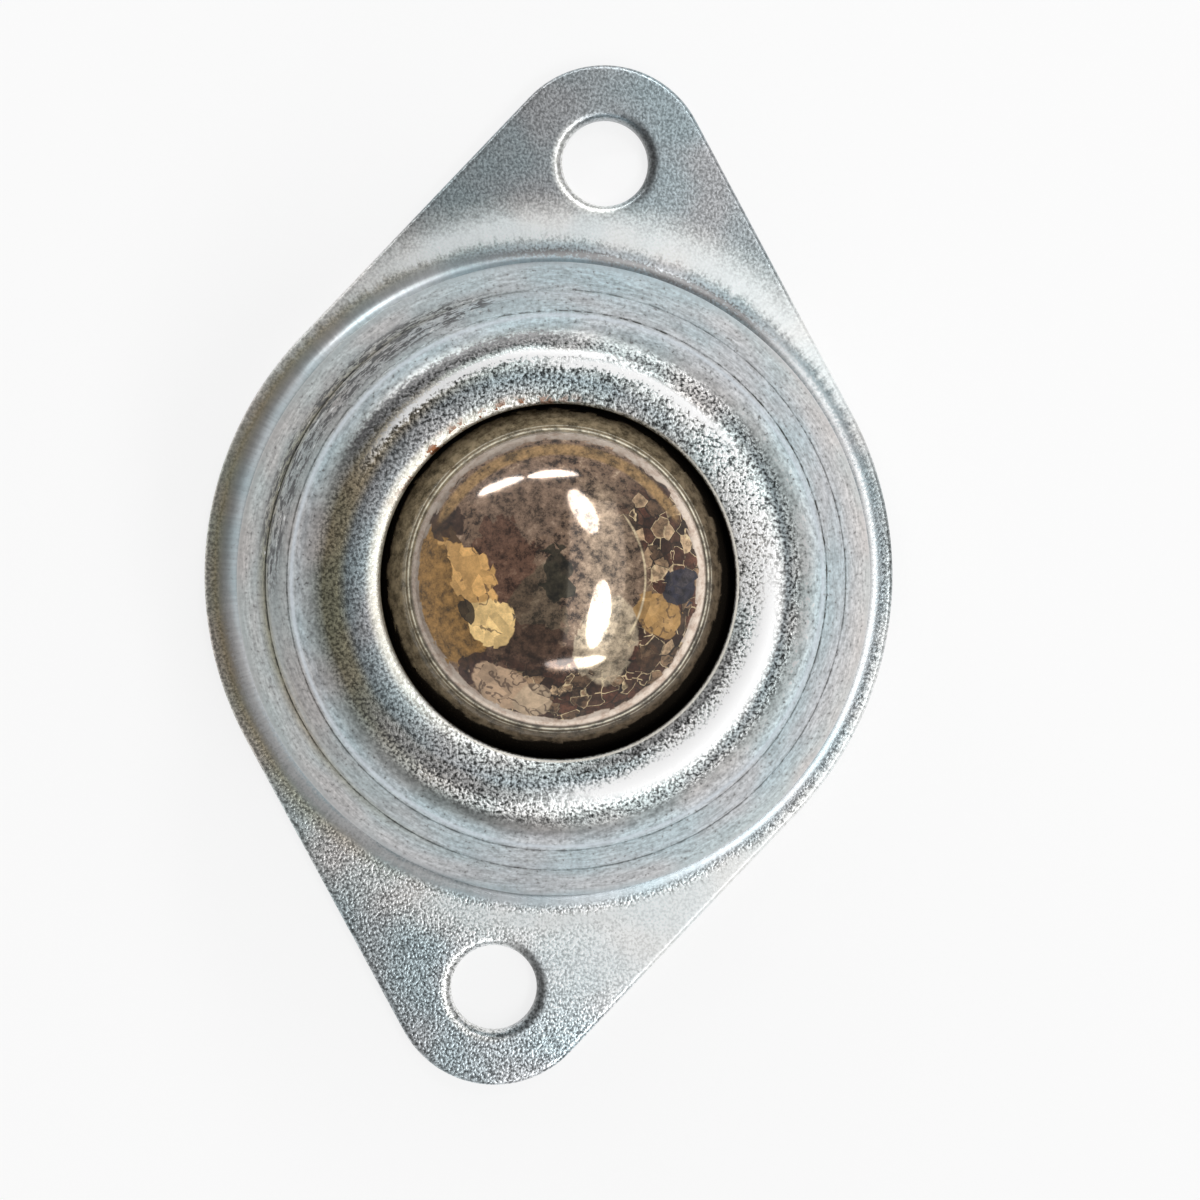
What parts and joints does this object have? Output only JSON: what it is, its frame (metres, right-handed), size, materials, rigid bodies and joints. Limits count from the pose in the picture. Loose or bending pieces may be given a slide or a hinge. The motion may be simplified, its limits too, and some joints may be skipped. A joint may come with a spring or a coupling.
{
  "type": "ball castor",
  "caption": "Flanged ball castor: a steel load ball rolls in any direction on a bed of small balls inside a pressed, zinc-plated housing with bolt holes.",
  "frame": {"origin": "on the load ball's axis, in the plane of the flange's mounting face", "axes": "+Z out of the mounting face towards the load ball, +X along the line of the two bolt holes"},
  "size_m": [0.0716, 0.048, 0.0306],
  "materials": {
    "zinc_plate": "bright zinc plate, grainy where the dies did not burnish it",
    "cup_steel": "drawn steel, lightly oiled",
    "ball_steel": "polished steel with a brown mottled tarnish",
    "bearing_steel": "polished bearing steel"
  },
  "bodies": {
    "castor_shell": {"flanged_housing": "zinc_plate", "race_cup": "cup_steel"},
    "ball_bed": {"bearing_ball_01": "bearing_steel", "bearing_ball_02": "bearing_steel", "bearing_ball_03": "bearing_steel", "bearing_ball_04": "bearing_steel", "bearing_ball_05": "bearing_steel", "bearing_ball_06": "bearing_steel", "bearing_ball_07": "bearing_steel", "bearing_ball_08": "bearing_steel", "bearing_ball_09": "bearing_steel", "bearing_ball_10": "bearing_steel", "bearing_ball_11": "bearing_steel", "bearing_ball_12": "bearing_steel", "bearing_ball_13": "bearing_steel", "bearing_ball_14": "bearing_steel", "bearing_ball_15": "bearing_steel", "bearing_ball_16": "bearing_steel", "bearing_ball_17": "bearing_steel", "bearing_ball_18": "bearing_steel", "bearing_ball_19": "bearing_steel", "bearing_ball_20": "bearing_steel", "bearing_ball_21": "bearing_steel", "bearing_ball_22": "bearing_steel", "bearing_ball_23": "bearing_steel", "bearing_ball_24": "bearing_steel", "bearing_ball_25": "bearing_steel", "bearing_ball_26": "bearing_steel", "bearing_ball_27": "bearing_steel", "bearing_ball_28": "bearing_steel", "bearing_ball_29": "bearing_steel", "bearing_ball_30": "bearing_steel", "bearing_ball_31": "bearing_steel", "bearing_ball_32": "bearing_steel", "bearing_ball_33": "bearing_steel", "bearing_ball_34": "bearing_steel", "bearing_ball_35": "bearing_steel", "bearing_ball_36": "bearing_steel", "bearing_ball_37": "bearing_steel", "bearing_ball_38": "bearing_steel", "bearing_ball_39": "bearing_steel", "bearing_ball_40": "bearing_steel", "bearing_ball_41": "bearing_steel", "bearing_ball_42": "bearing_steel", "bearing_ball_43": "bearing_steel", "bearing_ball_44": "bearing_steel", "bearing_ball_45": "bearing_steel", "bearing_ball_46": "bearing_steel", "bearing_ball_47": "bearing_steel", "bearing_ball_48": "bearing_steel", "bearing_ball_49": "bearing_steel", "bearing_ball_50": "bearing_steel", "bearing_ball_51": "bearing_steel", "bearing_ball_52": "bearing_steel", "bearing_ball_53": "bearing_steel"},
    "load_ball": {"load_ball": "ball_steel"}
  },
  "joints": [
    {"name": "bed_turn", "type": "hinge", "parent": "castor_shell", "child": "ball_bed", "pos_m": [0, 0, 0.0179], "axis": [0, 0, 1], "continuous": true},
    {"name": "ball_roll", "type": "hinge", "parent": "ball_bed", "child": "load_ball", "pos_m": [0, 0, 0.0179], "axis": [0, 1, 0], "continuous": true}
  ]
}
